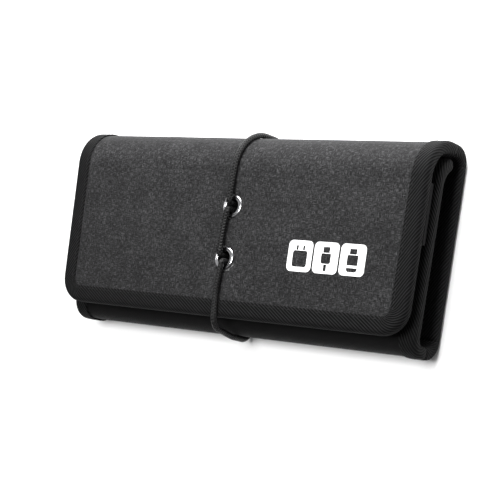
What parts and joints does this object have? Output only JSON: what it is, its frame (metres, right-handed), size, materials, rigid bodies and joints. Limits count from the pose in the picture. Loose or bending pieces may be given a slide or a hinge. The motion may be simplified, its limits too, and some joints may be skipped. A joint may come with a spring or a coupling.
{
  "type": "cable organizer pouch",
  "caption": "Padded tri-fold fabric pouch for cables, bound with twill tape and held shut by a round elastic cord through two eyelets.",
  "frame": {"origin": "middle of the closed pouch's back face, where it rests on a table", "axes": "+X along the width, +Y towards the top fold, +Z out of the front flap"},
  "size_m": [0.25, 0.1212, 0.0431],
  "materials": {
    "binding_tape": "twill tape",
    "heather_fabric": "woven melange cloth",
    "lower_fabric": "plain woven cloth",
    "foam": "closed-cell foam board",
    "lining": "smooth woven lining",
    "mesh": "open net",
    "zip_coil": "nylon coil on woven tape",
    "zip_metal": "plated zinc",
    "elastic_web": "woven elastic band",
    "chrome": "polished plating",
    "white_print": "rubber print",
    "cord": "braided round elastic"
  },
  "bodies": {
    "back": {"back_binding_left": "binding_tape", "back_binding_right": "binding_tape", "back_fabric": "heather_fabric", "back_foam": "foam", "back_lining": "lining", "top_rear_fold_binding_left": "binding_tape", "top_rear_fold_binding_right": "binding_tape", "top_rear_fold_fabric": "heather_fabric", "top_rear_fold_lining": "lining", "bottom_rear_fold_binding_left": "binding_tape", "bottom_rear_fold_binding_right": "binding_tape", "bottom_rear_fold_fabric": "lower_fabric", "bottom_rear_fold_lining": "lining", "cable_loops_left": "elastic_web", "cable_loops_right": "elastic_web", "zip_half_lower": "zip_coil", "zip_half_upper": "zip_coil", "zip_pocket_mesh": "mesh", "zip_pocket_frame": "binding_tape"},
    "top_spine": {"top_spine_binding_left": "binding_tape", "top_spine_binding_right": "binding_tape", "top_spine_fabric": "heather_fabric", "top_spine_foam": "foam", "top_spine_lining": "lining", "top_front_fold_binding_left": "binding_tape", "top_front_fold_binding_right": "binding_tape", "top_front_fold_fabric": "heather_fabric", "top_front_fold_lining": "lining"},
    "flap": {"flap_binding": "binding_tape", "flap_fabric": "heather_fabric", "flap_foam": "foam", "flap_lining": "lining", "flap_pocket_binding": "binding_tape", "flap_pocket_mesh": "mesh", "eyelet_upper": "chrome", "eyelet_lower": "chrome", "washer_upper": "chrome", "washer_lower": "chrome", "icon_charger": "white_print", "icon_cable": "white_print", "icon_stick": "white_print", "elastic_cord": "cord", "cord_knot_upper": "cord", "cord_knot_lower": "cord"},
    "bottom_spine": {"bottom_spine_binding_left": "binding_tape", "bottom_spine_binding_right": "binding_tape", "bottom_spine_fabric": "lower_fabric", "bottom_spine_foam": "foam", "bottom_spine_lining": "lining", "bottom_front_fold_binding_left": "binding_tape", "bottom_front_fold_binding_right": "binding_tape", "bottom_front_fold_fabric": "lower_fabric", "bottom_front_fold_lining": "lining"},
    "leaf": {"leaf_binding": "binding_tape", "leaf_fabric": "lower_fabric", "leaf_foam": "foam", "leaf_lining": "lining", "leaf_pocket": "lining"},
    "zip_slider": {"zip_slider": "zip_metal"},
    "zip_pull": {"zip_pull": "zip_metal"}
  },
  "joints": [
    {"name": "top_spine_fold", "type": "hinge", "parent": "back", "child": "top_spine", "pos_m": [0, 0.05341, 0.00509], "axis": [-1, 0, 0], "range_deg": [0, 90], "deforming": ["top_rear_fold_binding_left", "top_rear_fold_binding_right", "top_rear_fold_fabric", "top_rear_fold_lining", "elastic_cord"]},
    {"name": "flap_fold", "type": "hinge", "parent": "top_spine", "child": "flap", "pos_m": [0, 0.05083, 0.03233], "axis": [-1, 0, 0], "range_deg": [0, 90], "deforming": ["top_front_fold_binding_left", "top_front_fold_binding_right", "top_front_fold_fabric", "top_front_fold_lining"]},
    {"name": "bottom_spine_fold", "type": "hinge", "parent": "back", "child": "bottom_spine", "pos_m": [0, -0.05341, 0.00509], "axis": [1, 0, 0], "range_deg": [0, 18], "deforming": ["bottom_rear_fold_binding_left", "bottom_rear_fold_binding_right", "bottom_rear_fold_fabric", "bottom_rear_fold_lining"]},
    {"name": "leaf_fold", "type": "hinge", "parent": "bottom_spine", "child": "leaf", "pos_m": [0, -0.05341, 0.02231], "axis": [1, 0, 0], "range_deg": [0, 18], "deforming": ["bottom_front_fold_binding_left", "bottom_front_fold_binding_right", "bottom_front_fold_fabric", "bottom_front_fold_lining"]},
    {"name": "zip_slide", "type": "slide", "parent": "back", "child": "zip_slider", "axis": [1, 0, 0], "range_m": [0, 0.188]},
    {"name": "pull_hinge", "type": "hinge", "parent": "zip_slider", "child": "zip_pull", "pos_m": [-0.094, 0.026, 0.0118], "axis": [0, -1, 0], "range_deg": [0, 150]}
  ],
  "couplings": [
    {"joint": "flap_fold", "follows": "top_spine_fold", "ratio": 1},
    {"joint": "bottom_spine_fold", "follows": "top_spine_fold", "ratio": 0.2},
    {"joint": "leaf_fold", "follows": "top_spine_fold", "ratio": 0.2}
  ]
}
